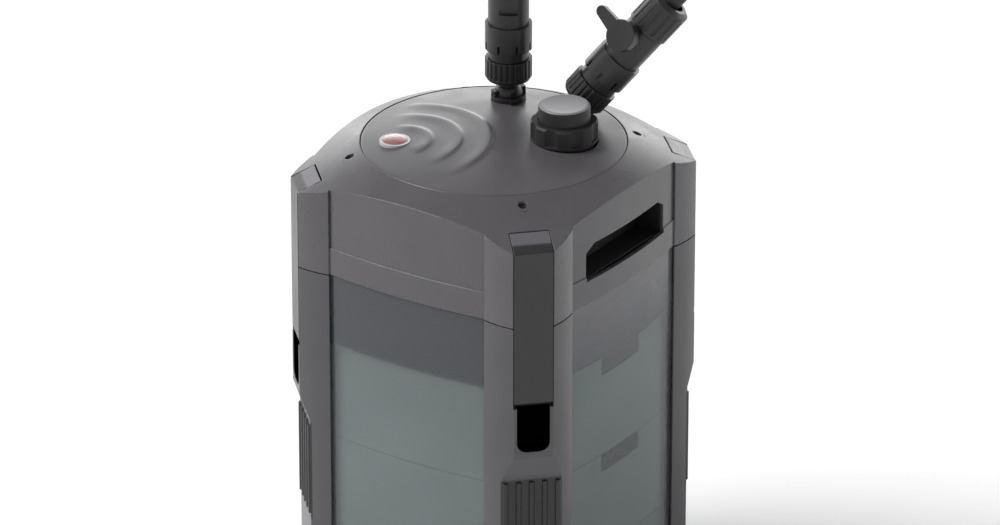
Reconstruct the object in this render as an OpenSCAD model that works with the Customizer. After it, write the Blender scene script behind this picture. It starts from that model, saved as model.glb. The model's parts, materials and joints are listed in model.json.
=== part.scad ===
// Four-clip canister filter: a clear vessel of stacked media trays under a
// lift-off pump head, with a hand primer and two swivelling hose taps.
// The origin is on the ground under the vessel's axis, +Z is up and -Y is the front.

/* [Body] */
// Width across two opposite faces
body_w = 280; // [276:1:284]
// Height of the joint between the vessel and the head
parting_z = 370; // [366:1:376]
// Radius of the bulge of each face
face_r = 590; // [560:10:640]
// Distance from the axis to a corner's clip face
clip_face_u = 176.5; // [176:0.5:178]
// Distance from the axis to a corner's flat behind the posts
corner_u = 152.3; // [151.5:0.1:153]
// Half the width of a clip face
clip_half = 17; // [16:0.5:17.5]
// How far the clear panels sit behind the head's lower band
panel_inset = 1.8; // [1.5:0.1:2]
// Wall of the clear vessel
vessel_wall = 3.2; // [3:0.1:3.4]

/* [Head] */
// Height of the shoulder above the joint, where the dome ends
shoulder_h = 98; // [96:0.5:100]
// Radius of the dome
dome_r = 117; // [116:0.5:118]
// Rise of the dome at its centre above its edge
dome_rise = 8.5; // [7:0.5:9]
// Fall of the shoulder for each millimetre outwards
shoulder_fall = 0.45; // [0.44:0.01:0.46]
// Wall of the head shell
head_wall = 3.2; // [3:0.1:3.4]
// Half the width of a carry slot
slot_half = 61; // [58:1:62]
// Depth of a carry slot's pocket
slot_depth = 34; // [30:1:36]

/* [Trays] */
// Height of one media tray with its gap
tray_pitch = 94; // [93:0.5:94]
// Wall of a media tray
tray_wall = 2.2; // [2:0.1:2.6]

/* [Pump and primer] */
// Primer axis from the vessel's axis, along X
primer_x = 56; // [55:1:57]
// Primer axis from the vessel's axis, along Y
primer_y = 26; // [25:1:27]
// Radius of the primer's button
button_r = 22.7; // [22:0.1:23]
// Travel of the primer's button
primer_travel = 14; // [10:1:14]
// Radius of the magnet rotor
rotor_r = 15.5; // [15:0.1:15.6]

/* [Taps] */
// Tap axes from the middle plane, along X
tap_x = 33; // [33:0.5:34]
// Tap axes behind the vessel's axis, along Y
tap_y = 72; // [71:0.5:72]
// Tilt of the intake tap from the vertical
tap_tilt = 40; // [36:1:40]
// Direction in which the intake tap leans, turned from +X
tap_lean = 30; // [25:1:35]
// Radius of a tap's body
tap_r = 18; // [17.8:0.1:18]
// Radius of a tap's collars
collar_r = 20.7; // [20.5:0.1:21]
// Radius of the hose that pushes over a hose tail
hose_r = 8; // [7.8:0.1:8.2]

/* [Hidden] */
TAPS = ["outlet", "intake"];
CORNERS = ["back_right", "back_left", "front_left", "front_right"];
TRAYS = ["bottom", "middle", "top"];

shell_grey = "#69666c";
clip_grey = "#4c494d";
black = "#303032";
tray_green = "#6b7a74";
white_ceramic = "#dcd8cc";
steel = "#a9abae";
mid = body_w / 2;
panel_mid = mid - panel_inset;
joint_gap = 1.2;
vessel_top = parting_z - joint_gap / 2;
head_z = parting_z + joint_gap / 2;

// Corner columns, in a frame with u outwards along the diagonal and v across it
column_root = [corner_u + 0.85, 38.65];
column_back = [corner_u, 37.8];
column_bulge = 1.5;
grip_u = clip_face_u - 7.5;
clip_depth = 11;
clip_floor_u = clip_face_u - clip_depth;
clip_low = parting_z - 75;
recess_low = parting_z - 118;
recess_half = 14.5;
slope_top = parting_z - 124;
slope_low = parting_z - 144;
rib_pitch = 11.5;
rib_r = 2.6;
rib_top = parting_z - 150;
rib_low = parting_z - 236;
pin_u = clip_face_u - 6.5;
pin_z = parting_z + 66;
pin_r = 2;
cap_depth = 21;
cap_u = clip_face_u - cap_depth;
pin_pocket_r = norm([cap_u - pin_u, shoulder_z(cap_u) - pin_z]) + 0.7;

// Base
foot_h = 6;
foot_r = 16;
foot_at = 92;
plinth_top = 20;
band_top = 44;
floor_top = 23.4;

// Trays
tray_mid = panel_mid - vessel_wall - 1.8;
tray_corner_u = corner_u - vessel_wall - 1.8;
tray_floor = 2.4;
tray_gap = 0.8;
tray_z0 = floor_top + 0.8;
tube_r = 15;
tube_bore = 12.5;

// Head
seat_r = dome_r - 0.4;
head_inner_u = corner_u - 8;
dome_z = parting_z + shoulder_h;
dome_wall = 3.2;
screw_at = 127;
slot_low = parting_z + 21.5;
slot_high = parting_z + 54.5;
band_h = 25;
spigot_h = 20;
base_plate_h = 5;
gland_r = 5.5;
gland_flange_r = 8;
pipe_bore = 9;
lens_at = [-65, -57];
lens_r = 11;

// Pump
pump = [-44, 4];
well_r = 19;
well_bore = 16.4;
well_top = parting_z + 74;
shaft_r = 1.5;
chamber_r = 30;
chamber_low = parting_z - 34;

// Primer
primer_r = 26;
primer_bore = 23;
primer_collar_r = 29.5;
collar_h = 19;
button_h = collar_h + primer_travel + 0.7;
primer_z = dome_z + 5;
piston_z = primer_z - 34;

// Taps, in a frame with z along the tap from the centre of its ball
ball_z = parting_z + 109;
ball_r = 12.5;
socket_r = 15.5;
trunnion_r = 2;
bore_r = 6.5;
nut_low = 14;
nut_high = 34;
sleeve_low = 43;
sleeve_high = 67;
body_high = 116;
valve_at = 91;
boss_r = 11;
hose_nut_r = 19.4;
hose_nut_low = 103;
hose_nut_high = 136;
tail_high = 158;
spool_r = 8;
lever_reach = 29;
running = 0.05;

// ---- plans and frames ----

// Square plan with bulged faces and flat corners
module vessel_plan(m, u) {
    intersection() {
        intersection_for (a = [0:90:270])
            rotate(a) translate([0, face_r - m]) circle(r = face_r, $fn = 240);
        rotate(45) square(2 * u, center = true);
    }
}

module corner(i) {
    rotate(45 + 90 * i) children();
}

// Point at share t of a column's side, which bulges from its root to the clip face
function column_side(t) = let(run = [clip_face_u, clip_half] - column_root)
    column_root + t * run + column_bulge * 4 * t * (1 - t) * [-run[1], run[0]] / norm(run);

// Outline of one corner column out to u
module column_plan(u = clip_face_u) {
    side = concat([column_back], [for (t = [0:0.125:1]) column_side(t)]);
    intersection() {
        polygon(concat(side, [for (k = [len(side) - 1:-1:0]) [side[k][0], -side[k][1]]]));
        translate([0, -60]) square([u, 120]);
    }
}

// A profile drawn in u and z, as thick as 2 * half across v
module across(half) {
    rotate([90, 0, 0]) translate([0, 0, -half]) linear_extrude(2 * half) children();
}

module up(z) {
    translate([0, 0, z]) children();
}

function shoulder_z(r) = parting_z + shoulder_h - shoulder_fall * (r - dome_r);

// ---- vessel ----

module canister() {
    color("#5d6664", 0.55)
    difference() {
        up(plinth_top) linear_extrude(vessel_top - plinth_top) vessel_plan(panel_mid, corner_u);
        up(floor_top) linear_extrude(parting_z)
            vessel_plan(panel_mid - vessel_wall, corner_u - vessel_wall);
    }
}

module post(i) {
    color(shell_grey)
    corner(i) difference() {
        intersection() {
            up(plinth_top) linear_extrude(vessel_top - plinth_top) column_plan();
            across(50) polygon([
                [corner_u - 1, 0], [grip_u, 0], [grip_u, slope_low],
                [clip_face_u, slope_top], [clip_face_u, parting_z], [corner_u - 1, parting_z]]);
        }
        post_cavity();
        clip_channel(clip_low - 1, parting_z + 1);
        finger_recess();
        // groove that the clip's nose slides in
        translate([clip_floor_u - 5, -9, parting_z - 44]) cube([6, 18, 50]);
    }
    color(shell_grey) corner(i) for (k = [-2:2])
        translate([grip_u - 0.6, k * rib_pitch, rib_low]) cylinder(r = rib_r, h = rib_top - rib_low);
}

// Hollow behind the post, open to the vessel's flat
module post_cavity() {
    up(plinth_top + 4) linear_extrude(slope_low - plinth_top - 10)
        polygon([[corner_u - 1, -33], [grip_u - 4, -20], [grip_u - 4, 20], [corner_u - 1, 33]]);
    up(recess_low - 24) linear_extrude(vessel_top - recess_low + 18)
        polygon([[corner_u - 1, -33], [corner_u + 6, -29], [corner_u + 6, 29], [corner_u - 1, 33]]);
}

module clip_channel(z0, z1) {
    half = clip_half + 0.6;
    translate([clip_floor_u, -half, z0]) cube([clip_depth + 5, 2 * half, z1 - z0]);
}

module finger_recess() {
    corner_r = 9;
    floor_u = clip_floor_u - 5;
    translate([floor_u, -recess_half, recess_low + corner_r])
        cube([25, 2 * recess_half, clip_low - recess_low]);
    for (s = [-1, 1])
        translate([floor_u, s * (recess_half - corner_r), recess_low + corner_r])
            rotate([0, 90, 0]) cylinder(r = corner_r, h = 25);
    translate([floor_u, corner_r - recess_half, recess_low])
        cube([25, 2 * (recess_half - corner_r), 20]);
}

module base_plinth() {
    color(shell_grey) difference() {
        union() {
            up(foot_h) linear_extrude(plinth_top - foot_h) {
                vessel_plan(mid, corner_u);
                for (i = [0:3]) corner(i) column_plan(grip_u);
            }
            up(plinth_top) linear_extrude(band_top - plinth_top) difference() {
                vessel_plan(mid, corner_u);
                vessel_plan(panel_mid, corner_u);
                for (i = [0:3]) corner(i) translate([corner_u - 30, -39]) square([60, 78]);
            }
        }
        up(foot_h - 1) linear_extrude(plinth_top - foot_h - 3) difference() {
            vessel_plan(mid - 5, corner_u + 8);
            for (i = [0:3]) corner(i) translate([foot_at * sqrt(2), 0]) circle(r = foot_r + 4);
            for (a = [0, 90]) rotate(a) square([4, 300], center = true);
        }
    }
}

module rubber_feet() {
    color("#1c1c1d") for (i = [0:3]) corner(i) translate([foot_at * sqrt(2), 0, 0])
        rotate_extrude() polygon([[0, 0], [foot_r - 1.5, 0], [foot_r, 1.5], [foot_r, foot_h], [0, foot_h]]);
}

// ---- trays and media ----

module tray(k) {
    z = tray_z0 + k * tray_pitch;
    height = tray_pitch - tray_gap;
    color(tray_green) difference() {
        union() {
            up(z) linear_extrude(height) difference() {
                vessel_plan(tray_mid, tray_corner_u);
                vessel_plan(tray_mid - tray_wall, tray_corner_u - tray_wall);
            }
            up(z) linear_extrude(tray_floor) vessel_plan(tray_mid - 1, tray_corner_u - 1);
            translate([tap_x, tap_y, z]) cylinder(r = tube_r, h = height);
        }
        up(z - 1) linear_extrude(tray_floor + 2) tray_slots();
        translate([tap_x, tap_y, z - 1]) cylinder(r = tube_bore, h = height + 2);
        // finger notches in the two side walls
        for (s = [-1, 1]) translate([s * tray_mid, 0, z + height]) cube([12, 60, 34], center = true);
    }
}

module tray_slots() {
    difference() {
        intersection() {
            vessel_plan(tray_mid - 8, tray_corner_u - 8);
            for (x = [-112:16:112], y = [-96, -32, 32, 96])
                translate([x, y]) square([6, 54], center = true);
        }
        translate([tap_x, tap_y]) circle(r = tube_r + 4);
    }
}

// Block of media in tray k, clear of the walls and of the water tube
module media_block(k, height) {
    up(tray_z0 + k * tray_pitch + tray_floor + 0.4) linear_extrude(height) difference() {
        vessel_plan(tray_mid - tray_wall - 1.5, tray_corner_u - tray_wall - 1.5);
        translate([tap_x, tap_y]) circle(r = tube_r + 1);
    }
}

module media_coarse_foam() {
    color("#2f4a63") media_block(0, 62);
}

module media_fine_floss() {
    color("#e8e8e2") media_block(2, 52);
}

// One standing layer of ceramic tubes in staggered rows
module media_ceramic_rings() {
    ring_r = 12;
    pitch = 25;
    z = tray_z0 + tray_pitch + tray_floor + 0.3;
    color(white_ceramic) for (row = [-4:4], col = [-5:5]) {
        x = (col + (row % 2 == 0 ? 0 : 0.5)) * pitch;
        y = row * pitch * 0.88;
        inside = abs(x) < tray_mid - 17 && abs(y) < tray_mid - 17
            && abs(x) + abs(y) < (tray_corner_u - 17) * sqrt(2)
            && norm([x - tap_x, y - tap_y]) > tube_r + ring_r + 1;
        if (inside) translate([x, y, z]) difference() {
            cylinder(r = ring_r, h = 26);
            up(-1) cylinder(r = 6.5, h = 28);
        }
    }
}

// ---- head ----

// Everything under the shoulder's cone, dropped by d
module under_shoulder(d) {
    rotate_extrude($fn = 180) polygon([[0, 0], [210, 0], [210, shoulder_z(210) - d],
        [60, shoulder_z(60) - d], [0, shoulder_z(60) - d]]);
}

module slot_outline() {
    polygon([[-slot_half, slot_low], [slot_half, slot_low], [slot_half, slot_high - 6.5],
        [slot_half - 11, slot_high], [11 - slot_half, slot_high], [-slot_half, slot_high - 6.5]]);
}

// Block through the carry slot from x0 to x1 on the +X side
module slot_block(x0, x1, grow = 0) {
    translate([x0, 0, 0]) rotate([90, 0, 90]) linear_extrude(x1 - x0) union() {
        slot_outline();
        if (grow > 0) for (s = [-1, 1], t = [-1, 1]) translate([s * grow, t * grow]) slot_outline();
    }
}

module head_shell() {
    color(shell_grey) difference() {
        intersection() {
            union() {
                up(head_z) linear_extrude(band_h) vessel_plan(mid, corner_u);
                up(head_z) linear_extrude(160) vessel_plan(mid - 0.9, corner_u);
                for (i = [0:3]) corner(i) up(head_z) linear_extrude(160) column_plan();
            }
            under_shoulder(0);
        }
        intersection() {
            up(parting_z - 1) linear_extrude(160)
                vessel_plan(mid - 0.9 - head_wall, head_inner_u);
            under_shoulder(head_wall);
        }
        up(parting_z) cylinder(r = seat_r, h = 200, $fn = 180);
        for (i = [0:3]) corner(i) {
            head_corner_cavity();
            clip_channel(parting_z - 1, pin_z);
            translate([pin_u, -clip_half - 0.6, pin_z]) rotate([-90, 0, 0])
                cylinder(r = pin_pocket_r, h = 2 * clip_half + 1.2);
            translate([cap_u - 1.3, -clip_half - 0.6, pin_z]) cube([40, 2 * clip_half + 1.2, 40]);
            translate([pin_u, -22, pin_z]) rotate([-90, 0, 0]) cylinder(r = pin_r, h = 44);
            translate([screw_at, 0, parting_z]) cylinder(r = 4, h = 200);
        }
        for (a = [0, 180]) rotate(a) slot_block(mid - slot_depth, mid + 10);
        gland_at(-14) cylinder(r = gland_r, h = 30);
        gland_at(0) cylinder(r = gland_flange_r, h = 20);
    }
    // bosses that the cover screws pull down on
    color(shell_grey) for (i = [0:3]) corner(i) translate([screw_at, 0, 0]) difference() {
        up(head_z + base_plate_h + 0.2) cylinder(r = 7, h = shoulder_h - 13);
        up(parting_z) cylinder(r = 2.3, h = 200);
        up(dome_z - 12) cylinder(r = 4, h = 60);
    }
}

module head_corner_cavity() {
    up(parting_z - 1) linear_extrude(38)
        polygon([[head_inner_u - 1, -35], [clip_floor_u - 4, -24],
                 [clip_floor_u - 4, 24], [head_inner_u - 1, 35]]);
}

// Height of the dome at radius r
function dome_at(r) = dome_z + dome_rise * (1 - pow(r / dome_r, 2));

// The dome out to radius r, raised by d over its true height
module dome_solid(d, r) {
    bands = 9;
    rotate(225) rotate_extrude($fn = 180) polygon(concat([[0, dome_z - 8], [r, dome_z - 8]],
        [for (k = [bands:-1:1]) [r * k / bands, dome_at(r * k / bands) + d]],
        [[4, dome_at(4) + d], [0, dome_at(4) + d]]));
}

module dome_cover() {
    color(shell_grey) difference() {
        union() {
            difference() {
                dome_solid(0, dome_r - 0.8);
                up(-dome_wall) dome_solid(0, dome_r - 4);
                up(dome_z - 20) cylinder(r = dome_r - 4, h = 20 - dome_wall, $fn = 180);
            }
            ripples();
        }
        translate([primer_x, primer_y, dome_z - 10]) cylinder(r = primer_r, h = 40);
        translate([primer_x, primer_y, primer_z + 1.6]) cylinder(r = primer_collar_r, h = 10);
        for (s = [-1, 1]) translate([s * tap_x, tap_y, dome_z - 10]) cylinder(r = socket_r + running, h = 40);
        translate([lens_at[0], lens_at[1], dome_z - 10]) cylinder(r = lens_r + 2.5, h = 40);
    }
}

// Low rings that spread over the dome from the indicator
module ripples() {
    ripple_h = 1.2;
    intersection() {
        dome_solid(ripple_h, dome_r - 6);
        up(dome_z - 4) linear_extrude(20) intersection() {
            translate(lens_at) {
                for (r = [31, 57, 83]) difference() {
                    circle(r = r + 2.5);
                    circle(r = r - 2.5);
                }
            }
            translate(lens_at) rotate(42) polygon([[0, 0], [140, -120], [180, 0], [140, 120]]);
        }
    }
}

module cover_screws() {
    color(steel) for (i = [0:3]) corner(i) translate([screw_at, 0, 0]) difference() {
        union() {
            up(dome_z - 11.9) cylinder(r = 3.6, h = 3);
            up(dome_z - 45) cylinder(r = 2, h = 34);
        }
        up(dome_z - 10.4) for (a = [0, 60, 120]) rotate(a) cube([4.4, 1, 4], center = true);
    }
}

module slot_liners() {
    wall = 2;
    low_x = mid - slot_depth;
    color("#1b1b1d") for (a = [0, 180]) rotate(a) difference() {
        translate([low_x, -slot_half - wall, slot_low - wall])
            cube([slot_depth - 8, 2 * (slot_half + wall), slot_high - slot_low + 2 * wall]);
        slot_block(low_x + wall, mid + 10);
    }
}

module head_base() {
    inner_mid = panel_mid - vessel_wall - 0.9;
    inner_u = corner_u - vessel_wall - 0.9;
    color("#3b3d40") difference() {
        union() {
            up(head_z) linear_extrude(base_plate_h) vessel_plan(mid - head_wall - 1.4, head_inner_u - 0.5);
            up(parting_z - spigot_h) linear_extrude(spigot_h + joint_gap / 2) difference() {
                vessel_plan(inner_mid, inner_u);
                vessel_plan(inner_mid - 4, inner_u - 7);
            }
            translate([tap_x, tap_y, parting_z - 68]) cylinder(r = 12.2, h = 69);
        }
        // groove of the seal
        up(parting_z - 14) linear_extrude(5) difference() {
            vessel_plan(inner_mid + 5, inner_u + 5);
            vessel_plan(inner_mid - 2.4, inner_u - 2.4);
        }
        pump_at(head_z - 1) cylinder(r = well_r, h = base_plate_h + 2);
        translate([tap_x, tap_y, parting_z - 70]) cylinder(r = pipe_bore, h = 90);
        translate([-tap_x, tap_y, parting_z - 30]) cylinder(r = pipe_bore, h = 60);
        translate([primer_x, primer_y, parting_z - 30]) cylinder(r = 6, h = 60);
        for (i = [0:3]) corner(i) translate([screw_at, 0, parting_z - 10]) cylinder(r = 2, h = 40);
    }
}

// Sealed pot of the magnet rotor, with the pump's chamber under the head's floor
module motor_housing() {
    color("#3b3d40") pump_at(chamber_low) difference() {
        union() {
            cylinder(r = well_r, h = well_top - chamber_low);
            cylinder(r = chamber_r + 3, h = head_z - chamber_low);
        }
        up(-1) cylinder(r = well_bore, h = well_top - 4 - chamber_low);
        up(-1) cylinder(r = chamber_r, h = parting_z - 1 - chamber_low);
    }
}

module head_seal() {
    inner_mid = panel_mid - vessel_wall - 0.9;
    inner_u = corner_u - vessel_wall - 0.9;
    color("#202022") up(parting_z - 13.9) linear_extrude(4.8) difference() {
        vessel_plan(inner_mid + 0.5, inner_u + 0.5);
        vessel_plan(inner_mid - 2.3, inner_u - 2.3);
    }
}

// Frame of the cord's inlet in the back wall, with z outwards
module gland_at(z) {
    translate([-70, mid - 6, parting_z + 40]) rotate([-90, 0, 0]) up(z) children();
}

module cord_gland() {
    color("#1c1c1d") difference() {
        union() {
            gland_at(0) cylinder(r = gland_flange_r, h = 5.4);
            gland_at(-12) cylinder(r = gland_r, h = 13);
        }
        gland_at(-14) cylinder(r = 3.5, h = 30);
    }
}

module indicator_bezel() {
    color(black) translate([lens_at[0], lens_at[1], dome_z - 6]) difference() {
        cylinder(r = lens_r + 2.5, h = 11.4);
        up(4) cylinder(r = lens_r, h = 20);
    }
}

module indicator_lens() {
    color("#a86a66") translate([lens_at[0], lens_at[1], dome_z - 2]) rotate_extrude()
        polygon([[0, 0], [lens_r, 0], [lens_r, 7.6], [lens_r * 0.7, 8.2], [3, 8.6], [0, 8.6]]);
}

// ---- pump ----

module pump_at(z) {
    translate([pump[0], pump[1], z]) children();
}

module motor_core() {
    color(steel) pump_at(parting_z + 14) difference() {
        translate([-36, -24, 0]) cube([96, 48, 34]);
        up(-1) cylinder(r = well_r + 0.4, h = 60);
        translate([24, -10, -1]) cube([22, 20, 60]);
    }
}

module motor_coils() {
    color("#9c5a34") pump_at(parting_z + 10.5) for (s = [-1, 1]) translate([34, s * 17, 0]) difference() {
        translate([-8.5, -10.5, 0]) cube([17, 21, 41]);
        translate([-12, -7, 3]) cube([24, 14, 35]);
    }
}

module rotor_shaft() {
    color(white_ceramic) pump_at(chamber_low + 2) cylinder(r = shaft_r, h = well_top - 7 - chamber_low);
}

module shaft_bushes() {
    color("#232325") pump_at(0) {
        up(well_top - 10) difference() {
            cylinder(r = 6, h = 4.9);
            up(-1) cylinder(r = shaft_r, h = 8);
        }
        up(chamber_low - 1) difference() {
            cylinder(r = 4.5, h = 4);
            up(2.99) cylinder(r = shaft_r, h = 4);
        }
    }
}

module impeller() {
    color("#2c2c30") pump_at(0) difference() {
        union() {
            up(parting_z + 2) cylinder(r = rotor_r, h = 56);
            up(parting_z - 5) cylinder(r = 6, h = 8);
            up(parting_z - 7) cylinder(r = 25, h = 3);
            for (a = [0:60:300]) rotate(a) translate([5, -1, parting_z - 25]) cube([20, 2, 19]);
            up(parting_z - 25) cylinder(r = 6.5, h = 20);
        }
        up(chamber_low) cylinder(r = shaft_r + running, h = 140);
    }
}

module volute_cover() {
    color("#3b3d40") pump_at(chamber_low - 5) difference() {
        union() {
            cylinder(r = chamber_r + 6, h = 4.6);
            difference() {
                cylinder(r = chamber_r + 6, h = 12);
                up(-1) cylinder(r = chamber_r + 3.4, h = 20);
            }
            translate([-3, -chamber_r - 12, 0]) cube([6, 16, 4.6]);
            translate([-3, chamber_r - 4, 0]) cube([6, 16, 4.6]);
        }
        for (a = [0:60:300]) rotate(a + 30) translate([15, 0, -1]) cylinder(r = 5.5, h = 8);
        up(3.9) cylinder(r = 4.6, h = 2);
    }
}

// Pipe from the head's floor up to the socket of tap k
module duct(k) {
    z0 = head_z + base_plate_h;
    color("#3b3d40") translate([tap_side(k), tap_y, 0]) difference() {
        up(z0) cylinder(r = 12, h = dome_z - 10.4 - z0);
        up(z0 - 1) cylinder(r = pipe_bore, h = 120);
    }
}

// ---- primer ----

module primer_at(z) {
    translate([primer_x, primer_y, z]) children();
}

module primer_cylinder() {
    z0 = head_z + base_plate_h;
    color("#3b3d40") primer_at(z0) difference() {
        cylinder(r = primer_r, h = primer_z - 4 - z0);
        up(4) cylinder(r = primer_bore, h = 120);
        up(-1) cylinder(r = 6, h = 20);
    }
}

module primer_collar() {
    color(black) primer_at(0) difference() {
        union() {
            up(primer_z - 4) cylinder(r = primer_r, h = 6);
            up(primer_z + 1.6) rotate_extrude() polygon([[0, 0], [primer_collar_r, 0],
                [primer_collar_r, collar_h - 3], [primer_collar_r - 1.5, collar_h - 1], [0, collar_h - 1]]);
        }
        up(primer_z - 10) cylinder(r = button_r + 0.4, h = 60);
        for (a = [0:45:315]) rotate(a + 10) translate([38, 0, primer_z + 4]) cylinder(r = 11, h = 40);
    }
}

module primer_button() {
    color("#8f8f91") primer_at(0) difference() {
        up(primer_z - 6) rotate_extrude() polygon([[0, 0], [button_r, 0], [button_r, button_h + 4],
            [button_r - 1.5, button_h + 6], [0, button_h + 6]]);
        up(primer_z - 8) cylinder(r = button_r - 3, h = button_h + 4);
    }
    color("#8f8f91") primer_at(primer_z - 26) cylinder(r = 5, h = button_h + 24);
}

module primer_piston() {
    color("#232325") primer_at(piston_z) difference() {
        union() {
            cylinder(r = primer_bore - 0.3, h = 3);
            up(2) cylinder(r = 12, h = 6);
            up(5) cylinder(r = primer_bore - 0.3, h = 3);
        }
        up(4) cylinder(r = 5, h = 20);
    }
}

// Points of a wire's ring at angle a of the spring, with wire radius w
function spring_ring(a, r, w, pitch) = [for (b = [0:45:315])
    [(r + w * cos(b)) * cos(a), (r + w * cos(b)) * sin(a), pitch * a / 360 + w * sin(b)]];

module primer_spring() {
    turns = 6;
    coil_r = 15;
    wire_r = 1.1;
    step = 20;
    low = head_z + base_plate_h + 4 + wire_r + 0.2;
    high = piston_z - wire_r - 0.2;
    pitch = (high - low) / turns;
    rings = turns * 360 / step + 1;
    points = [for (k = [0:rings - 1]) each spring_ring(k * step, coil_r, wire_r, pitch)];
    sides = [for (k = [0:rings - 2], b = [0:7])
        [k * 8 + b, (k + 1) * 8 + b, (k + 1) * 8 + (b + 1) % 8, k * 8 + (b + 1) % 8]];
    ends = [[for (b = [0:7]) b], [for (b = [7:-1:0]) (rings - 1) * 8 + b]];
    color(steel) primer_at(low) polyhedron(points, concat(ends, sides), convexity = 8);
}

// ---- clips ----

module clip(i) {
    top_z = shoulder_z(clip_face_u);
    color(clip_grey) corner(i) difference() {
        union() {
            across(clip_half) polygon([
                [clip_face_u, clip_low + 4], [clip_face_u, top_z - 1.5], [clip_face_u - 1.5, top_z],
                [cap_u, shoulder_z(cap_u)], [cap_u, shoulder_z(cap_u) - 3],
                [clip_floor_u - 3, pin_z - 6], [clip_floor_u + 0.6, pin_z - 12],
                [clip_floor_u + 0.6, clip_low + 6],
                [clip_floor_u + 2.6, clip_low], [clip_face_u - 4, clip_low]]);
            // nose that drops into the post's groove
            across(8) polygon([[clip_floor_u + 1, parting_z - 20], [clip_floor_u - 3.4, parting_z - 26],
                [clip_floor_u - 3.4, parting_z - 32], [clip_floor_u + 1, parting_z - 34]]);
        }
        translate([pin_u, -30, pin_z]) rotate([-90, 0, 0]) cylinder(r = pin_r + running, h = 60);
    }
}

module clip_pins() {
    color(steel) for (i = [0:3]) corner(i) translate([pin_u, -22, pin_z])
        rotate([-90, 0, 0]) cylinder(r = pin_r, h = 44);
}

// ---- taps ----

// Where tap k stands along X, and the direction that it leans in: 0 is the outlet, 1 the intake
function tap_side(k) = k == 0 ? -tap_x : tap_x;
function lean_of(k) = k == 0 ? 180 - tap_lean : tap_lean;

// Frame of tap k: the outlet's stands upright, the intake's leans over
module tap_frame(k) {
    translate([tap_side(k), tap_y, ball_z]) rotate([0, 0, k == 0 ? 0 : tap_lean])
        rotate([0, k == 0 ? 0 : tap_tilt, 0]) rotate([0, 0, k == 0 ? 124 : 232]) children();
}

// A bar along the axis that tap k tilts about, through its ball
module trunnion(k, r, reach) {
    translate([tap_side(k), tap_y, ball_z]) rotate(lean_of(k))
        rotate([90, 0, 0]) cylinder(r = r, h = 2 * reach, center = true);
}

// Grooves that make a ring easy to grip
module grip_cuts(r, z0, z1, count) {
    for (k = [0:count - 1])
        rotate(k * 360 / count) translate([r + 0.6, 0, z0]) cylinder(r = 1.6, h = z1 - z0);
}

module tap_socket(k) {
    low = dome_z - 10;
    color("#19191b") difference() {
        translate([tap_side(k), tap_y, 0]) union() {
            up(low) cylinder(r = socket_r, h = ball_z - 1 - low);
            // ears that hold the ball's trunnions
            intersection() {
                up(ball_z - 4) cylinder(r = socket_r, h = 8.5);
                up(ball_z) rotate(lean_of(k)) cube([8, 40, 12], center = true);
            }
            // thumb latch of the socket
            rotate(-40) translate([13, -3.5, ball_z - 4]) cube([6.5, 7, 3]);
        }
        translate([tap_side(k), tap_y, ball_z]) sphere(r = ball_r + 0.35, $fn = 96);
        translate([tap_side(k), tap_y, low - 1]) cylinder(r = bore_r, h = 40);
        trunnion(k, trunnion_r + running, 20);
    }
}

module tap_elbow(k) {
    color(black) difference() {
        union() {
            tap_frame(k) {
                sphere(r = ball_r, $fn = 96);
                cylinder(r = 9, h = nut_high - 1);
                up(nut_low + 4) cylinder(r = 15, h = 4);
            }
            trunnion(k, trunnion_r, socket_r - 0.5);
        }
        tap_frame(k) up(-20) cylinder(r = bore_r, h = 80);
    }
}

module tap_union_nut(k) {
    color(black) tap_frame(k) difference() {
        up(nut_low) rotate_extrude() polygon([[9.5, 0], [collar_r - 2, 0], [collar_r, 3],
            [collar_r, nut_high - nut_low], [9.5, nut_high - nut_low]]);
        up(nut_low + 3.6) cylinder(r = 15.4, h = 40);
        grip_cuts(collar_r, nut_low + 4, nut_high + 1, 24);
    }
}

module tap_valve_body(k) {
    color(black) tap_frame(k) difference() {
        union() {
            up(nut_low + 8.4) cylinder(r = 15, h = nut_high - nut_low - 8);
            up(nut_high + 0.4) cylinder(r = tap_r, h = sleeve_high + 2 - nut_high);
            up(sleeve_high + 0.4) cylinder(r = tap_r, h = body_high - 14 - sleeve_high);
            up(body_high - 14) cylinder(r = 14, h = 14);
            translate([0, 0, valve_at]) rotate([0, 90, 0]) cylinder(r = boss_r, h = 24);
        }
        up(nut_low) cylinder(r = bore_r, h = 150);
        up(nut_low) cylinder(r = 9.4, h = nut_high - nut_low - 0.6);
        translate([-12, 0, valve_at]) rotate([0, 90, 0]) cylinder(r = spool_r + running, h = 50);
        // window opposite the valve's boss
        translate([-tap_r - 1, -8, valve_at - 11]) cube([5, 16, 5]);
    }
}

module tap_lock_sleeve(k) {
    color(black) tap_frame(k) difference() {
        up(sleeve_low) cylinder(r = collar_r, h = sleeve_high - sleeve_low);
        up(sleeve_low - 1) cylinder(r = tap_r + running, h = 40);
        for (a = [0:45:315]) rotate(a + 20) translate([12, -1.2, sleeve_low - 1]) cube([12, 2.4, 9]);
    }
}

module tap_valve_spool(k) {
    color("#232325") tap_frame(k) translate([0, 0, valve_at]) rotate([0, 90, 0]) difference() {
        up(-11.5) cylinder(r = spool_r, h = 36);
        rotate([0, 90, 0]) cylinder(r = bore_r, h = 40, center = true);
    }
}

module tap_valve_lever(k) {
    color(black) tap_frame(k) translate([24.5, 0, valve_at]) rotate([0, 90, 0]) {
        cylinder(r = 14, h = 8);
        translate([0, -lever_reach, 1.5]) {
            linear_extrude(6) polygon([[-5, 0], [5, 0], [7, 22], [-7, 22]]);
            cylinder(r = 5, h = 6);
        }
    }
}

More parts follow.
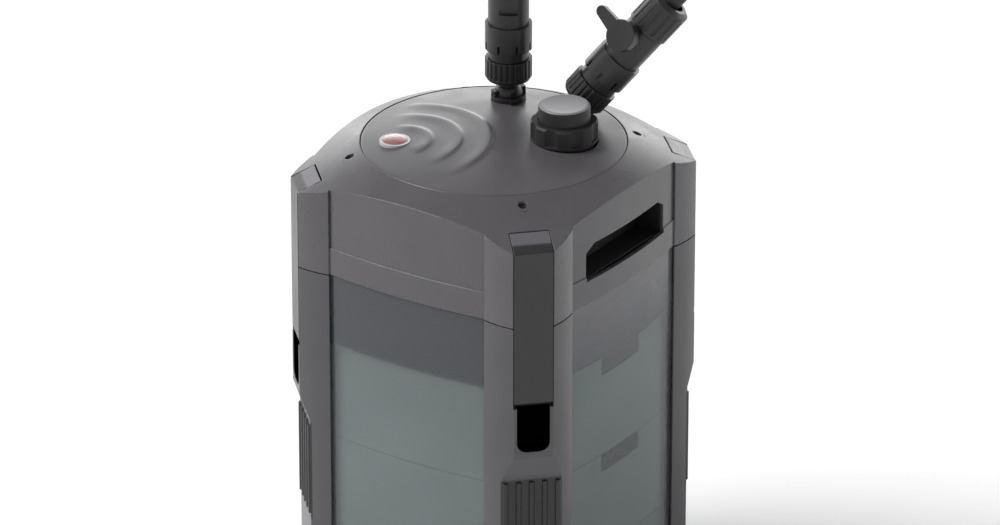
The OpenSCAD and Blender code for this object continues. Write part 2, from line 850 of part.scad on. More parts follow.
module tap_hose_nut(k) {
    h = hose_nut_high - hose_nut_low;
    color(black) tap_frame(k) difference() {
        up(hose_nut_low) rotate_extrude() polygon([[14.4, 0], [hose_nut_r, 0], [hose_nut_r, h - 3], [15, h],
            [11.5, h], [11.5, 15], [14.4, 15]]);
        grip_cuts(hose_nut_r, hose_nut_low + 3, hose_nut_high - 6, 16);
    }
}

module tap_hose_tail(k) {
    color("#232325") tap_frame(k) up(body_high) difference() {
        union() {
            cylinder(r = 11, h = 6);
            cylinder(r = hose_r, h = tail_high - body_high - 2);
            up(tail_high - body_high - 2) cylinder(r1 = hose_r, r2 = hose_r - 1, h = 2);
        }
        up(-1) cylinder(r = bore_r, h = 80);
    }
}

canister();
base_plinth();
rubber_feet();
for (i = [0:3]) post(i);
for (k = [0:2]) tray(k);
media_coarse_foam();
media_ceramic_rings();
media_fine_floss();
head_shell();
dome_cover();
cover_screws();
slot_liners();
head_base();
head_seal();
motor_housing();
motor_core();
motor_coils();
rotor_shaft();
shaft_bushes();
impeller();
volute_cover();
for (k = [0:1]) duct(k);
cord_gland();
indicator_lens();
indicator_bezel();
primer_collar();
primer_cylinder();
primer_button();
primer_piston();
primer_spring();
clip_pins();
for (i = [0:3]) clip(i);
for (k = [0:1]) tap_socket(k);
for (k = [0:1]) tap_elbow(k);
for (k = [0:1]) tap_union_nut(k);
for (k = [0:1]) tap_valve_body(k);
for (k = [0:1]) tap_lock_sleeve(k);
for (k = [0:1]) tap_valve_spool(k);
for (k = [0:1]) tap_valve_lever(k);
for (k = [0:1]) tap_hose_nut(k);
for (k = [0:1]) tap_hose_tail(k);
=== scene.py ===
import json
import math

import bmesh
import bpy
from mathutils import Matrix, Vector, noise


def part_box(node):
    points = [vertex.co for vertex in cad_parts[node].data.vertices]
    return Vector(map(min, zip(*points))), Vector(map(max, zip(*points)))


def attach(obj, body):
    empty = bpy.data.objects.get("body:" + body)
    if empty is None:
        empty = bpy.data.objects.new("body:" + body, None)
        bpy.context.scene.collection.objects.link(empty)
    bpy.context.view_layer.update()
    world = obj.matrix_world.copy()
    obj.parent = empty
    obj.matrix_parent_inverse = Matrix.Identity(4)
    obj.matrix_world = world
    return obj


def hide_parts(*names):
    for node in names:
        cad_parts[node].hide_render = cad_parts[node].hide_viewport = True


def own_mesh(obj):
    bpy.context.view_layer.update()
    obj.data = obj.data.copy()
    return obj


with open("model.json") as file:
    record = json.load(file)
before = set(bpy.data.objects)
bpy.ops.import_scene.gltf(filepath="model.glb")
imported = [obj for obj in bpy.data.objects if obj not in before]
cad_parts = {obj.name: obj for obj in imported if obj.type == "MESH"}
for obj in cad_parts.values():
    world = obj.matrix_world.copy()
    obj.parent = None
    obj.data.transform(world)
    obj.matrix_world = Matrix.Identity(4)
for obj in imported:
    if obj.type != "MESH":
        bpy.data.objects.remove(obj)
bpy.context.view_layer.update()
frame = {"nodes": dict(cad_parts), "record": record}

# Looks of a four-clip canister filter: smoky clear vessel, moulded grey head, black taps.
# Everything is in metres in the part's own frame: +Z up, -Y the front.
MM = 0.001
SHARP_ANGLE = 35.0
CORNERS = ("back_right", "back_left", "front_left", "front_right")
TRAYS = ("bottom", "middle", "top")
TAPS = ("outlet", "intake")
PARTING = 370 * MM
POST_FACE = 176.5 * MM
RECESS_HALF = 14.5 * MM
RECESS_DEPTH = 16 * MM
RECESS_LOW = PARTING - 118 * MM
RECESS_HIGH = PARTING - 74 * MM
GRIP_FACE = POST_FACE - 7.5 * MM
GRIP_TOP = PARTING - 146 * MM
GRIP_LOW = PARTING - 240 * MM
SMOKE_LOW = PARTING - 66 * MM
CAP_LOW = PARTING + 74 * MM
SOCKET_R = 15.5 * MM
FRONT_WALL = 0.75
BACK_WALL = 3.0
CEILING = 0.35


# ---- small helpers ----

def linear(code):
    """An '#rrggbb' colour as the linear RGBA that shaders take."""
    values = [int(code[i:i + 2], 16) / 255 for i in (1, 3, 5)]
    return [v / 12.92 if v < 0.04045 else ((v + 0.055) / 1.055) ** 2.4 for v in values] + [1.0]


def scaled(colour, factor):
    return [min(1.0, c * factor) for c in colour[:3]] + [1.0]


def smoothstep(low, high, value):
    t = min(1.0, max(0.0, (value - low) / (high - low)))
    return t * t * (3 - 2 * t)


def node_centre(name):
    low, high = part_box(name)
    return (low + high) / 2


# ---- materials ----

class Finish:
    """One procedural material. Its texture space is the object's own: the part's frame."""

    def __init__(self, name):
        self.material = bpy.data.materials.new(name)
        self.material.use_nodes = True
        self.tree = self.material.node_tree
        self.shader = self.tree.nodes["Principled BSDF"]
        self.place = self.add("ShaderNodeTexCoord").outputs["Object"]

    def feed(self, target, value):
        if isinstance(value, bpy.types.NodeSocket):
            self.tree.links.new(value, target)
        else:
            target.default_value = value

    def add(self, kind, inputs=None, **settings):
        made = self.tree.nodes.new(kind)
        for key, value in settings.items():
            setattr(made, key, value)
        for key, value in (inputs or {}).items():
            self.feed(made.inputs[key], value)
        return made

    def constant(self, **values):
        for key, value in values.items():
            self.shader.inputs[key.replace("_", " ")].default_value = value

    def noise(self, scale, detail=3.0, rough=0.55, stretch=(1, 1, 1)):
        place = self.add("ShaderNodeMapping", {"Vector": self.place, "Scale": stretch}).outputs[0]
        inputs = {"Vector": place, "Scale": scale, "Detail": detail, "Roughness": rough}
        return self.add("ShaderNodeTexNoise", inputs).outputs["Fac"]

    def cells(self, scale, feature="F1"):
        inputs = {"Vector": self.place, "Scale": scale}
        return self.add("ShaderNodeTexVoronoi", inputs, feature=feature).outputs["Distance"]

    def ramp(self, value, low, high, out_low=0.0, out_high=1.0):
        inputs = {"Value": value, "From Min": low, "From Max": high,
                  "To Min": out_low, "To Max": out_high}
        return self.add("ShaderNodeMapRange", inputs, interpolation_type="SMOOTHSTEP").outputs[0]

    def math(self, operation, a, b=0.0):
        return self.add("ShaderNodeMath", {0: a, 1: b}, operation=operation).outputs[0]

    def mix(self, factor, a, b):
        return self.add("ShaderNodeMix", {0: factor, 6: a, 7: b}, data_type="RGBA").outputs[2]

    def edges(self, radius, gain=9.0):
        """1 along the convex and concave edges, 0 on the flats."""
        bent = self.add("ShaderNodeBevel", {"Radius": radius}, samples=4).outputs[0]
        plain = self.add("ShaderNodeNewGeometry").outputs["Normal"]
        dot = self.add("ShaderNodeVectorMath", {0: bent, 1: plain}, operation="DOT_PRODUCT")
        apart = self.math("SUBTRACT", 1.0, dot.outputs["Value"])
        return self.math("MINIMUM", self.math("MULTIPLY", apart, gain), 1.0)

    def bump(self, height, strength, distance, under=None):
        inputs = {"Height": height, "Strength": strength, "Distance": distance}
        if under is not None:
            inputs["Normal"] = under
        return self.add("ShaderNodeBump", inputs).outputs[0]

    def finish(self, colour, rough, normal):
        self.feed(self.shader.inputs["Base Color"], colour)
        self.feed(self.shader.inputs["Roughness"], rough)
        self.feed(self.shader.inputs["Normal"], normal)
        return self.material


def corner_place(f):
    """Distance outwards along the diagonal, across it, and up, for a part at any corner."""
    split = f.add("ShaderNodeSeparateXYZ", {0: f.place})
    x, y = (f.math("ABSOLUTE", split.outputs[i]) for i in (0, 1))
    outwards = f.math("MULTIPLY", f.math("ADD", x, y), math.sqrt(0.5))
    across = f.math("ABSOLUTE", f.math("MULTIPLY", f.math("SUBTRACT", x, y), math.sqrt(0.5)))
    return outwards, across, split.outputs[2]


def recess_shade_mask(f):
    """1 inside the finger recess under each clip, where shade is painted near black, 0 elsewhere.
    """
    outwards, across, up = corner_place(f)
    inside = f.math("LESS_THAN", outwards, POST_FACE - 1.2 * MM)
    inside = f.math("MULTIPLY", inside, f.math("LESS_THAN", across, RECESS_HALF + 0.2 * MM))
    inside = f.math("MULTIPLY", inside, f.math("GREATER_THAN", up, RECESS_LOW - 0.3 * MM))
    return f.math("MULTIPLY", inside, f.math("LESS_THAN", up, RECESS_HIGH))


def grip_panel(f):
    """1 on the ribbed grip of a column, fading out round its border."""
    outwards, across, up = corner_place(f)
    inside = f.math("GREATER_THAN", outwards, GRIP_FACE - 2.4 * MM)
    inside = f.math("MULTIPLY", inside, f.ramp(across, 26.5 * MM, 27.5 * MM, 1.0, 0.0))
    inside = f.math("MULTIPLY", inside, f.ramp(up, GRIP_TOP - 3 * MM, GRIP_TOP, 1.0, 0.0))
    return f.math("MULTIPLY", inside, f.ramp(up, GRIP_LOW - 3 * MM, GRIP_LOW))


def moulded(name, code, rough=0.42, mottle=0.05, wear=0.35, grain=0.12, grain_scale=1500,
            pocket=False, cap=False, rounding=0.7 * MM):
    """Injection-moulded plastic: fine grain, faint flow marks, round edges rubbed lighter."""
    f = Finish(name)
    base = linear(code)
    rubbed_tone, flow_depth = 2.1, 0.07
    cloud = f.ramp(f.noise(14, 4), 0.32, 0.68)
    flow = f.ramp(f.noise(40, 3, stretch=(1, 1, 0.25)), 0.35, 0.65)
    colour = f.mix(cloud, scaled(base, 1 - mottle), scaled(base, 1 + mottle))
    rub = f.math("MULTIPLY", f.edges(0.9 * MM), f.ramp(f.noise(160, 3), 0.35, 0.7, 0.2, 1.0))
    colour = f.mix(f.math("MULTIPLY", rub, wear), colour, scaled(base, rubbed_tone))
    if pocket:
        colour = f.mix(grip_panel(f), colour, linear("#161617"))
        # Painted shade: the finger recess under each clip is painted near black for the shade deep
        # inside it.
        colour = f.mix(recess_shade_mask(f), colour, linear("#040405"))
    # Painted light: the clip's cap above CAP_LOW is painted a lighter grey for the light falling
    # on its top.
    if cap:
        painted_cap_light = f.ramp(corner_place(f)[2], CAP_LOW, CAP_LOW + 1.5 * MM)
        colour = f.mix(painted_cap_light, colour, linear("#5f5c62"))
    roughness = f.math("ADD", f.math("MULTIPLY", flow, flow_depth), rough - flow_depth / 2)
    round_edge = f.add("ShaderNodeBevel", {"Radius": rounding}, samples=6).outputs[0]
    coarse = f.bump(f.noise(grain_scale / 5, 2), grain * 0.6, 0.25 * MM, round_edge)
    normal = f.bump(f.noise(grain_scale, 2), grain, 0.12 * MM, coarse)
    f.constant(IOR=1.5)
    return f.finish(colour, roughness, normal)


def smoky_clear():
    """Smoke-tinted clear plastic with moulding waves, darker in a band along the vessel's top."""
    f = Finish("smoky_clear")
    base = linear("#6f7377")
    cloud = f.ramp(f.noise(9, 3), 0.3, 0.7)
    colour = f.mix(cloud, scaled(base, 0.94), scaled(base, 1.06))
    split = f.add("ShaderNodeSeparateXYZ", {0: f.place})
    up = split.outputs[2]
    x, y = (f.math("ABSOLUTE", split.outputs[i]) for i in (0, 1))
    on_sides = f.math("GREATER_THAN", x, y)
    crisp = f.ramp(up, SMOKE_LOW - 1.5 * MM, SMOKE_LOW + 1.5 * MM)
    soft = f.ramp(up, SMOKE_LOW - 25 * MM, SMOKE_LOW + 75 * MM, 0.0, 0.8)
    band = f.add("ShaderNodeMix", {0: on_sides, 2: crisp, 3: soft}, data_type="FLOAT").outputs[0]
    colour = f.mix(band, colour, f.mix(on_sides, linear("#42454a"), linear("#6a686d")))
    clear = f.ramp(f.noise(6, 2), 0.25, 0.75, 0.36, 0.41)
    f.feed(f.shader.inputs["Alpha"], f.math("ADD", clear, f.math("MULTIPLY", band, 0.5)))
    roughness = f.ramp(f.noise(30, 3), 0.3, 0.7, 0.10, 0.17)
    wave = f.bump(f.noise(11, 1), 0.15, 1.0 * MM)
    normal = f.bump(f.noise(900, 2), 0.03, 0.1 * MM, wave)
    f.constant(IOR=1.5)
    return f.finish(colour, roughness, normal)


def rubber(name, code):
    f = Finish(name)
    base = linear(code)
    dust = f.ramp(f.noise(70, 4), 0.5, 0.75)
    colour = f.mix(dust, base, scaled(base, 1.9))
    roughness = f.ramp(f.noise(120, 3), 0.3, 0.7, 0.68, 0.86)
    return f.finish(colour, roughness, f.bump(f.noise(1400, 3), 0.25, 0.15 * MM))


def foam(name, code, pore_scale, depth):
    """Open-cell foam: pores painted dark as shade in the holes, between lighter struts."""
    f = Finish(name)
    base = linear(code)
    pores = f.ramp(f.cells(pore_scale), 0.12, 0.55)
    fine = f.noise(pore_scale * 3, 2)
    # Painted shade: the pores are darkened for the shade inside the holes.
    colour = f.mix(pores, scaled(base, 0.35), scaled(base, 1.25))
    colour = f.mix(f.ramp(f.noise(25, 3), 0.35, 0.65, 0.0, 0.3), colour, scaled(base, 0.8))
    height = f.math("ADD", f.math("MULTIPLY", pores, 0.8), f.math("MULTIPLY", fine, 0.2))
    f.constant(Specular_IOR_Level=0.15)
    return f.finish(colour, 0.93, f.bump(height, 0.9, depth))


def fibre_floss():
    f = Finish("white_floss")
    base = linear("#e4e4dd")
    strand = f.noise(420, 5, 0.7, stretch=(1, 0.3, 1))
    cross = f.noise(380, 5, 0.7, stretch=(0.3, 1, 1))
    weave = f.math("MULTIPLY", strand, cross)
    colour = f.mix(f.ramp(weave, 0.12, 0.38), scaled(base, 0.72), base)
    f.constant(Sheen_Weight=0.4, Sheen_Roughness=0.6, Specular_IOR_Level=0.1)
    return f.finish(colour, 0.95, f.bump(weave, 0.8, 0.8 * MM))


def fired_ceramic():
    """Porous bio-ceramic, a little different in tone from ring to ring."""
    f = Finish("fired_ceramic")
    base = linear("#d8d2c2")
    each = f.add("ShaderNodeNewGeometry").outputs["Random Per Island"]
    colour = f.mix(each, scaled(base, 0.82), scaled(base, 1.05))
    colour = f.mix(f.ramp(f.noise(300, 4), 0.52, 0.7, 0.0, 0.45), colour, linear("#a39373"))
    pores = f.ramp(f.cells(900), 0.05, 0.35)
    return f.finish(colour, f.ramp(f.noise(200, 3), 0.3, 0.7, 0.75, 0.92),
                    f.bump(pores, 0.6, 0.3 * MM))


def metal(name, code, rough, brush):
    f = Finish(name)
    base = linear(code)
    lines = f.noise(600, 3, 0.6, stretch=brush)
    stain = f.ramp(f.noise(45, 4), 0.45, 0.7)
    colour = f.mix(f.ramp(lines, 0.3, 0.7), scaled(base, 0.86), scaled(base, 1.06))
    colour = f.mix(f.math("MULTIPLY", stain, 0.25), colour, scaled(base, 0.6))
    f.constant(Metallic=1.0)
    roughness = f.math("ADD", f.math("MULTIPLY", f.ramp(lines, 0.3, 0.7), 0.12), rough)
    return f.finish(colour, roughness, f.bump(lines, 0.12, 0.1 * MM))


def wound_wire():
    """Varnished copper winding: fine turns around the bobbin, the troughs between turns painted
    dark as shade.
    """
    f = Finish("wound_copper")
    base = linear("#a8602f")
    turns = f.add("ShaderNodeTexWave", {"Vector": f.place, "Scale": 360.0, "Distortion": 0.6},
                  bands_direction="Z").outputs["Fac"]
    # Painted shade: the troughs between turns are darkened for the shade between the wires.
    colour = f.mix(turns, scaled(base, 0.35), scaled(base, 1.2))
    colour = f.mix(f.ramp(f.noise(60, 3), 0.4, 0.7, 0.0, 0.4), colour, linear("#5a2d14"))
    f.constant(Metallic=0.7, Coat_Weight=0.4, Coat_Roughness=0.2)
    return f.finish(colour, f.ramp(turns, 0.0, 1.0, 0.5, 0.3), f.bump(turns, 0.7, 0.3 * MM))


def signal_lens():
    """Muted red translucent lens with the moulded facets of a lamp cover behind it."""
    f = Finish("signal_lens")
    base = linear("#9c5f5e")
    facets = f.cells(520)
    colour = f.mix(f.ramp(facets, 0.1, 0.6), scaled(base, 1.25), scaled(base, 0.7))
    f.constant(Coat_Weight=0.7, Coat_Roughness=0.08, Subsurface_Weight=0.1)
    return f.finish(colour, f.ramp(f.noise(90, 3), 0.3, 0.7, 0.2, 0.32),
                    f.bump(facets, 0.25, 0.2 * MM))


def pale_floor():
    f = Finish("pale_floor")
    tone = f.ramp(f.noise(1.3, 3), 0.3, 0.7)
    colour = f.mix(tone, linear("#f3f3f3"), linear("#f8f8f8"))
    return f.finish(colour, 0.75, f.bump(f.noise(90, 3), 0.05, 0.3 * MM))


FINISHES = {
    "clear_vessel": smoky_clear(),
    "shell_grey": moulded("shell_grey", "#504e51", rough=0.31),
    # cap=True paints the clip's cap lighter: painted light on its top.
    "clip_grey": moulded("clip_grey", "#272628", rough=0.32, wear=0.15, cap=True),
    "foot_rubber": rubber("foot_rubber", "#1b1b1c"),
    "tray_green": moulded("tray_green", "#93ada2", rough=0.5, mottle=0.07, wear=0.2),
    "coarse_foam": foam("coarse_foam", "#2f4a63", 420, 1.2 * MM),
    "ceramic": fired_ceramic(),
    "floss": fibre_floss(),
    "inner_plastic": moulded("inner_plastic", "#3b3d40", rough=0.45, wear=0.25),
    "seal_rubber": rubber("seal_rubber", "#242426"),
    "screw_steel": metal("screw_steel", "#b4b6b9", 0.28, (1, 1, 6)),
    "pocket_black": moulded("pocket_black", "#111113", rough=0.6, wear=0.1),
    "core_steel": metal("core_steel", "#8d9094", 0.4, (0.2, 0.2, 8)),
    "coil_copper": wound_wire(),
    "lens_red": signal_lens(),
    "button_grey": moulded("button_grey", "#77777a", rough=0.38),
    "tap_black": moulded("tap_black", "#1e1e20", rough=0.34, mottle=0.1, wear=0.3),
    "tap_inner": moulded("tap_inner", "#1a1a1c", rough=0.42, wear=0.2),
}

HEAD_GREY = moulded("head_grey", "#504e51", rough=0.29, wear=0.0, grain=0.05,
                    rounding=1.3 * MM)
# pocket=True gives the ribbed grip its darker grip colour and paints the finger recess near black
# as painted shade.
POST_GREY = moulded("post_grey", "#49474a", rough=0.33, pocket=True)
# Near black with no specular: painted shade, for the dark sheets in the finger recesses.
RECESS_SHADE = rubber("recess_shade_black", "#020202")
RECESS_SHADE.node_tree.nodes["Principled BSDF"].inputs["Specular IOR Level"].default_value = 0.0
BUTTON_SIDE = moulded("button_side", "#0f0f10", rough=0.5)
PALE_RING = moulded("pale_ring", "#b9b9bb", rough=0.35, wear=0.1)


# ---- carried-over parts ----

def soften(node, width):
    """Rounds a part's sharp edges as its mould does, by modifiers that leave its mesh as it is."""
    part = frame["nodes"][node]
    weld = part.modifiers.new("weld", "WELD")
    weld.merge_threshold = 0.002 * MM
    flat = part.modifiers.new("flat", "DECIMATE")
    flat.decimate_type = "DISSOLVE"
    flat.angle_limit = math.radians(0.4)
    bevel = part.modifiers.new("edge", "BEVEL")
    bevel.width = width
    bevel.segments = 2
    bevel.limit_method = "ANGLE"
    bevel.angle_limit = math.radians(28.0)
    bevel.use_clamp_overlap = True
    shade = part.modifiers.new("shade", "WEIGHTED_NORMAL")
    shade.weight = 60


def paint(node, finish):
    for slot in frame["nodes"][node].material_slots:
        slot.material = finish


for row in frame["record"]["subparts"]:
    paint(row["node"], FINISHES[row["material_slot"]])
for corner in CORNERS:
    paint("post_" + corner, POST_GREY)
paint("head_shell", HEAD_GREY)
paint("indicator_bezel", PALE_RING)

for corner in CORNERS:
    soften("clip_" + corner, 0.6 * MM)
soften("base_plinth", 0.8 * MM)
soften("primer_collar", 0.5 * MM)
for tray in TRAYS:
    soften("tray_" + tray, 0.4 * MM)
for tap in TAPS:
    for piece in ("_union_nut", "_valve_body", "_lock_sleeve", "_valve_lever", "_hose_nut"):
        soften(tap + piece, 0.4 * MM)


# ---- pieces that replace plain parts ----

def add_object(name, data):
    """A new object in the scene."""
    made = bpy.data.objects.new(name, data)
    bpy.context.scene.collection.objects.link(made)
    return made


def build(name, points, faces, materials, sharp=SHARP_ANGLE):
    """A closed mesh from points and faces, its normals outwards, smooth below the sharp angle."""
    mesh = bpy.data.meshes.new(name)
    mesh.from_pydata(points, [], faces)
    for material in materials:
        mesh.materials.append(material)
    made = bmesh.new()
    made.from_mesh(mesh)
    bmesh.ops.recalc_face_normals(made, faces=made.faces)
    made.to_mesh(mesh)
    made.free()
    shade(mesh, sharp)
    return add_object(name, mesh)


def shade(mesh, sharp):
    mesh.polygons.foreach_set("use_smooth", [True] * len(mesh.polygons))
    mesh.set_sharp_from_angle(angle=math.radians(sharp))
    mesh.update()


def apply_modifiers(piece):
    depsgraph = bpy.context.evaluated_depsgraph_get()
    mesh = bpy.data.meshes.new_from_object(piece.evaluated_get(depsgraph))
    piece.modifiers.clear()
    piece.data = mesh


def ring_faces(count, start_a, start_b):
    """Quads between two rings of points."""
    return [(start_a + j, start_a + (j + 1) % count, start_b + (j + 1) % count, start_b + j)
            for j in range(count)]


def lathe(name, profile, centre, materials, count):
    """Spins (radius, height) pairs, from axis to axis, round the vertical through centre."""
    points = [(centre[0], centre[1], profile[0][1])]
    for radius, height in profile[1:-1]:
        for j in range(count):
            turn = 2 * math.pi * j / count
            points.append((centre[0] + radius * math.cos(turn),
                           centre[1] + radius * math.sin(turn), height))
    points.append((centre[0], centre[1], profile[-1][1]))
    rings = len(profile) - 2
    last = len(points) - 1
    faces = [(0, 1 + (j + 1) % count, 1 + j) for j in range(count)]
    for k in range(rings - 1):
        faces += ring_faces(count, 1 + k * count, 1 + (k + 1) * count)
    top = 1 + (rings - 1) * count
    faces += [(last, top + j, top + (j + 1) % count) for j in range(count)]
    return build(name, points, faces, materials)


def rod(name, centre, radius, low, high):
    return lathe(name, [(0, low), (radius, low), (radius, high), (0, high)], centre, [], 72)


def cut_out(piece, tools):
    for tool in tools:
        cut = piece.modifiers.new(tool.name, "BOOLEAN")
        cut.operation = "DIFFERENCE"
        cut.solver = "EXACT"
        cut.object = tool
    apply_modifiers(piece)
    for tool in tools:
        bpy.data.objects.remove(tool)
    shade(piece.data, SHARP_ANGLE)


def fillet(radius, height, round_r, steps):
    """A quarter round from (radius, height - round_r) to (radius - round_r, height)."""
    turns = [math.pi / 2 * k / steps for k in range(steps + 1)]
    return [(radius - round_r + round_r * math.cos(a), height - round_r + round_r * math.sin(a))
            for a in turns]


def ripple(x, y, centre):
    """Height of the low waves that spread over the dome from the indicator."""
    dx, dy = x - centre.x, y - centre.y
    away = math.hypot(dx, dy)
    turn = math.atan2(dy, dx) - math.radians(50)
    height = 0.0
    for radius in (31 * MM, 57 * MM, 83 * MM):
        step = away - radius
        flank = 9 * MM if step < 0 else 2.4 * MM
        height += 1.1 * MM * math.exp(-(step / flank) ** 2)
    rim = 1 - smoothstep(96 * MM, 108 * MM, math.hypot(x, y))
    return height * rim * smoothstep(0.2, 0.75, math.cos(turn))


def dome():
    """Crowned cover with a round lip and low ripples, cut out for what passes through it."""
    low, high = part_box("dome_cover")
    radius = high.x
    edge_z = low.z + 8 * MM
    rise = 8.5 * MM
    lip = 1.6 * MM
    bottom_z = low.z + 4 * MM
    beacon = node_centre("indicator_lens")
    count, rings = 240, 84
    radii = [(radius - lip) * k / rings for k in range(1, rings + 1)]
    radii += [radius - lip + lip * math.sin(math.pi / 2 * k / 6) for k in range(1, 7)]
    points = [(0, 0, edge_z + rise + ripple(0, 0, beacon))]
    for r in radii:
        drop = lip - math.sqrt(max(0.0, lip ** 2 - max(0.0, r - radius + lip) ** 2))
        for j in range(count):
            turn = 2 * math.pi * j / count
            x, y = r * math.cos(turn), r * math.sin(turn)
            crown = rise * (1 - (r / radius) ** 2)
            points.append((x, y, edge_z + crown - drop + ripple(x, y, beacon)))
    for j in range(count):
        turn = 2 * math.pi * j / count
        points.append((radius * math.cos(turn), radius * math.sin(turn), bottom_z))
    points.append((0, 0, bottom_z))
    faces = [(0, 1 + j, 1 + (j + 1) % count) for j in range(count)]
    for k in range(len(radii)):
        faces += ring_faces(count, 1 + k * count, 1 + (k + 1) * count)
    last = len(points) - 1
    faces += [(last, last - count + (j + 1) % count, last - count + j) for j in range(count)]
    piece = build("dome", points, faces, [FINISHES["shell_grey"]])
    tools = []
    for node, gap in (("primer_collar", 0.15 * MM), ("outlet_duct", 0.15 * MM),
                      ("intake_duct", 0.15 * MM), ("indicator_bezel", 0.05 * MM)):
        box_low, box_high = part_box(node)
        wide = SOCKET_R if "duct" in node else (box_high.x - box_low.x) / 2
        tools.append(rod("cut_" + node, node_centre(node), wide + gap, bottom_z - 5 * MM,
                         high.z + 9 * MM))
    cut_out(piece, tools)
    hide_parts("dome_cover")
    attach(piece, "head")


def primer_knob():
    """The primer's button: a dark skirt, and a dished top painted light grey as a painted
    reflection.
    """
    low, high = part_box("primer_button")
    centre = node_centre("primer_button")
    radius = (high.x - low.x) / 2
    skirt = low.z + 20 * MM
    profile = [(0, low.z), (5 * MM, low.z), (5 * MM, skirt), (radius - 0.6 * MM, skirt)]
    profile += [(radius, skirt + 0.6 * MM)] + fillet(radius, high.z, 2.6 * MM, 7)
    profile += [(radius - 4 * MM, high.z - 0.25 * MM), (radius - 9 * MM, high.z - 0.7 * MM),
                (radius / 3, high.z - 1.0 * MM), (0, high.z - 1.1 * MM)]
    piece = lathe("primer_knob", profile, centre, [BUTTON_SIDE, FINISHES["button_grey"]], 128)
    # Faces that look upwards take the light grey: a painted reflection on the dark button's top.
    for face in piece.data.polygons:
        face.material_index = 1 if face.normal.z > 0.6 else 0
    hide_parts("primer_button")
    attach(piece, "primer")


def soft_block(node, name, body, slot, voxel, lump, coarse):
    """A block of filter media: its plain solid remeshed, with soft edges and a lumpy surface."""
    piece = add_object(name, frame["nodes"][node].data.copy())
    remesh = piece.modifiers.new("remesh", "REMESH")
    remesh.mode = "VOXEL"
    remesh.voxel_size = voxel
    soft = piece.modifiers.new("soft", "SMOOTH")
    soft.factor = 0.5
    soft.iterations = 3
    apply_modifiers(piece)
    mesh = piece.data
    low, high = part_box(node)
    middle = (low + high) / 2
    reach = (high - low) / 2
    for vertex in mesh.vertices:
        share = [abs(vertex.co[i] - middle[i]) / reach[i] for i in range(3)]
        height = 1.2 * MM if vertex.co.z > middle.z else 0
        crown = (1 - share[0] ** 2) * (1 - share[1] ** 2) * height
        push = (noise.noise(vertex.co / coarse) - 0.6) * lump
        push += noise.noise(vertex.co / (coarse / 5)) * lump * 0.5
        vertex.co += vertex.normal * push + Vector((0, 0, crown))
    mesh.materials.clear()
    mesh.materials.append(FINISHES[slot])
    shade(mesh, 80)
    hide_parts(node)
    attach(piece, body)


def recess_shade_sheet(corner):
    """Black cup of painted shade in the finger recess under a clip: a dark sheet put where there
    is only shade.
    """
    side_x = 1 if "right" in corner else -1
    side_y = 1 if "back" in corner else -1
    outwards = Vector((side_x, side_y, 0)).normalized()
    across = Vector((-outwards.y, outwards.x, 0))
    gap, thick = 0.08 * MM, 0.4 * MM
    deep, mouth = POST_FACE - RECESS_DEPTH, POST_FACE - 0.9 * MM

    def outline(inset, distance):
        half = RECESS_HALF - inset
        round_r = 9 * MM - inset
        low, high = RECESS_LOW + inset, RECESS_HIGH - 2.2 * MM - inset
        shape = [(-half, high)]
        for k in range(9):
            turn = math.pi / 2 * k / 8
            shape.append((-half + round_r - round_r * math.cos(turn),
                          low + round_r - round_r * math.sin(turn)))
        shape += [(-v, z) for v, z in reversed(shape)]
        return [outwards * distance + across * v + Vector((0, 0, z)) for v, z in shape]

    rings = [outline(gap, deep + 0.05 * MM), outline(gap, mouth),
             outline(gap + thick, mouth), outline(gap + thick, deep + thick)]
    count = len(rings[0])
    points = [point for ring in rings for point in ring]
    faces = [tuple(range(count)), tuple(range(3 * count, 4 * count))]
    for k in range(3):
        faces += ring_faces(count, k * count, (k + 1) * count)
    piece = build("recess_shade_sheet_" + corner, points, faces, [RECESS_SHADE])
    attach(piece, "vessel")


def primer_coil():
    """The primer's return spring, built as a fixed coil; nothing here shortens it as the button
    goes down.
    """
    low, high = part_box("primer_spring")
    wire = 1.1 * MM
    coil = (high.x - low.x) / 2 - wire
    centre = node_centre("primer_button")
    turns, steps, around = 6, 36, 12
    rings = turns * steps + 1
    bottom, top = low.z + wire, high.z - wire
    points = []
    for k in range(rings):
        turn = 2 * math.pi * k / steps
        z = bottom + (top - bottom) * k / (rings - 1)
        for j in range(around):
            angle = 2 * math.pi * j / around
            radius = coil + wire * math.cos(angle)
            points.append((centre.x + radius * math.cos(turn),
                           centre.y + radius * math.sin(turn), z + wire * math.sin(angle)))
    faces = [tuple(range(around)), tuple(range((rings - 1) * around, rings * around))]
    for k in range(rings - 1):
        faces += ring_faces(around, k * around, (k + 1) * around)
    piece = build("primer_coil", points, faces, [FINISHES["screw_steel"]], 60)
    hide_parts("primer_spring")
    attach(piece, "head")
    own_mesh(piece)


dome()
primer_knob()
primer_coil()
# Dark sheets of painted shade in the finger recesses.
for corner in CORNERS:
    recess_shade_sheet(corner)
soft_block("media_coarse_foam", "coarse_foam_block", "lower_tray", "coarse_foam", 3.5 * MM,
           0.7 * MM, 18 * MM)
soft_block("media_fine_floss", "floss_pad", "upper_tray", "floss", 3.5 * MM,
           1.6 * MM, 26 * MM)


# ---- stage, light and camera ----

def floor():
    size = 30.0
    mesh = bpy.data.meshes.new("floor")
    corners = [(-size, -size, 0), (size, -size, 0), (size, size, 0), (-size, size, 0)]
    mesh.from_pydata(corners, [], [(0, 1, 2, 3)])
    mesh.materials.append(pale_floor())
    add_object("floor", mesh)


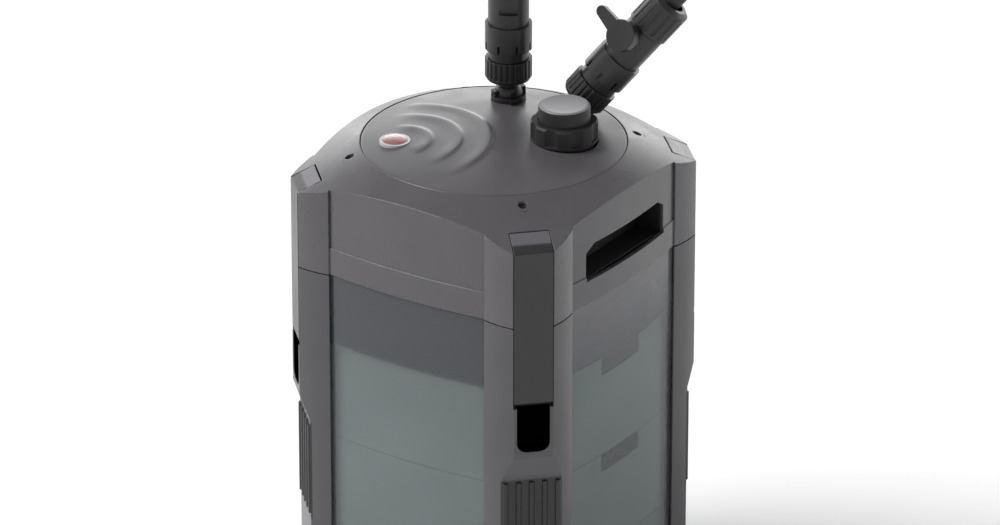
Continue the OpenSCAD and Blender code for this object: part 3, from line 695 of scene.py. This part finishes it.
def sky():
    """A white studio: dim overhead and in front, bright near the horizon behind the part."""
    world = bpy.data.worlds.new("studio")
    bpy.context.scene.world = world
    world.use_nodes = True
    nodes, links = world.node_tree.nodes, world.node_tree.links
    place = nodes.new("ShaderNodeTexCoord").outputs["Generated"]
    split = nodes.new("ShaderNodeSeparateXYZ")
    links.new(place, split.inputs[0])
    behind = nodes.new("ShaderNodeVectorMath")
    behind.operation = "DOT_PRODUCT"
    behind.inputs[1].default_value = (-0.558, 0.830, 0.0)
    links.new(place, behind.inputs[0])
    wall = nodes.new("ShaderNodeMapRange")
    wall.interpolation_type = "SMOOTHSTEP"
    wall.inputs["From Min"].default_value = -0.1
    wall.inputs["From Max"].default_value = 0.8
    wall.inputs["To Min"].default_value = FRONT_WALL
    wall.inputs["To Max"].default_value = BACK_WALL
    links.new(behind.outputs["Value"], wall.inputs["Value"])
    lift = nodes.new("ShaderNodeMapRange")
    lift.interpolation_type = "SMOOTHSTEP"
    lift.inputs["From Min"].default_value = 0.12
    lift.inputs["From Max"].default_value = 0.62
    lift.inputs["To Max"].default_value = CEILING
    links.new(split.outputs["Z"], lift.inputs["Value"])
    links.new(wall.outputs[0], lift.inputs["To Min"])
    links.new(lift.outputs[0], nodes["Background"].inputs["Strength"])
    nodes["Background"].inputs["Color"].default_value = (1.0, 1.0, 1.0, 1.0)


def broad_sun(direction, angle, strength):
    """A soft, even main light that comes from the given direction."""
    light = bpy.data.lights.new("sun", "SUN")
    light.angle = math.radians(angle)
    light.energy = strength
    lamp = add_object("sun", light)
    lamp.rotation_euler = Vector(direction).to_track_quat("Z", "Y").to_euler()


def camera():
    azimuth, elevation = math.radians(33.9), math.radians(25.0)
    distance = 6.431
    target = Vector((0, 0, 0.370))
    back = Vector((math.sin(azimuth) * math.cos(elevation),
                   -math.cos(azimuth) * math.cos(elevation), math.sin(elevation)))
    data = bpy.data.cameras.new("camera")
    data.sensor_width = 36.0
    data.lens = 265.0
    data.shift_x = 0.0061
    data.shift_y = -0.0201
    data.clip_end = 100.0
    seen = add_object("camera", data)
    seen.location = target + back * distance
    seen.rotation_euler = (-back).to_track_quat("-Z", "Y").to_euler()
    bpy.context.scene.camera = seen


floor()
sky()
broad_sun((-0.505, -0.4, 0.73), 30, 2.6)
camera()
bpy.context.scene.view_settings.view_transform = "Standard"
